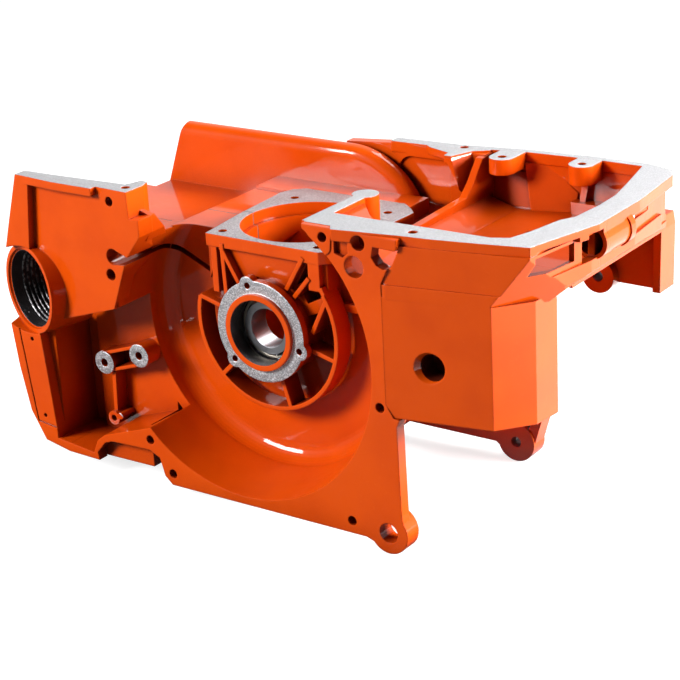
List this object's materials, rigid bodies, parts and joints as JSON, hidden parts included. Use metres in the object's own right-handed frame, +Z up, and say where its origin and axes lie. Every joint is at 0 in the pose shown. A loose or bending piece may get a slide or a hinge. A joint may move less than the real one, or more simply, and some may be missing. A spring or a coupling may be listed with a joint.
{
  "type": "chainsaw crankcase",
  "caption": "Two-part die cast chainsaw crankcase with fan housing, bearing hub, cylinder deck, oil tank with filler, ignition pocket and an open box frame for the air filter.",
  "frame": {"origin": "on the crank axis at the plane where the halves meet", "axes": "+X toward the rear handle, +Y along the crank toward the clutch side, +Z up"},
  "size_m": [0.3228, 0.1548, 0.1567],
  "materials": {
    "paint": "gloss orange paint over die cast metal, bare where machined",
    "gasket": "fibre sheet",
    "bearing_steel": "ground bearing steel",
    "plain_steel": "zinc plated steel"
  },
  "bodies": {
    "case": {"flywheel_half": "paint", "clutch_half": "paint", "case_gasket": "gasket", "flywheel_bearing_outer_race": "bearing_steel", "clutch_bearing_outer_race": "bearing_steel", "locating_dowels": "plain_steel", "case_screws": "plain_steel", "bar_studs": "plain_steel"},
    "flywheel_inner_ring": {"flywheel_bearing_inner_race": "bearing_steel"},
    "flywheel_ball_set": {"flywheel_bearing_balls": "bearing_steel", "flywheel_bearing_cage": "bearing_steel"},
    "clutch_inner_ring": {"clutch_bearing_inner_race": "bearing_steel"},
    "clutch_ball_set": {"clutch_bearing_balls": "bearing_steel", "clutch_bearing_cage": "bearing_steel"}
  },
  "joints": [
    {"name": "flywheel_inner_turn", "type": "hinge", "parent": "case", "child": "flywheel_inner_ring", "pos_m": [0, -0.03, 0], "axis": [0, 1, 0], "continuous": true},
    {"name": "flywheel_balls_turn", "type": "hinge", "parent": "case", "child": "flywheel_ball_set", "pos_m": [0, -0.03, 0], "axis": [0, 1, 0], "continuous": true},
    {"name": "clutch_inner_turn", "type": "hinge", "parent": "case", "child": "clutch_inner_ring", "pos_m": [0, 0.03, 0], "axis": [0, 1, 0], "continuous": true},
    {"name": "clutch_balls_turn", "type": "hinge", "parent": "case", "child": "clutch_ball_set", "pos_m": [0, 0.03, 0], "axis": [0, 1, 0], "continuous": true}
  ],
  "couplings": [
    {"joint": "flywheel_balls_turn", "follows": "flywheel_inner_turn", "ratio": 0.3968},
    {"joint": "clutch_balls_turn", "follows": "clutch_inner_turn", "ratio": 0.3968}
  ]
}
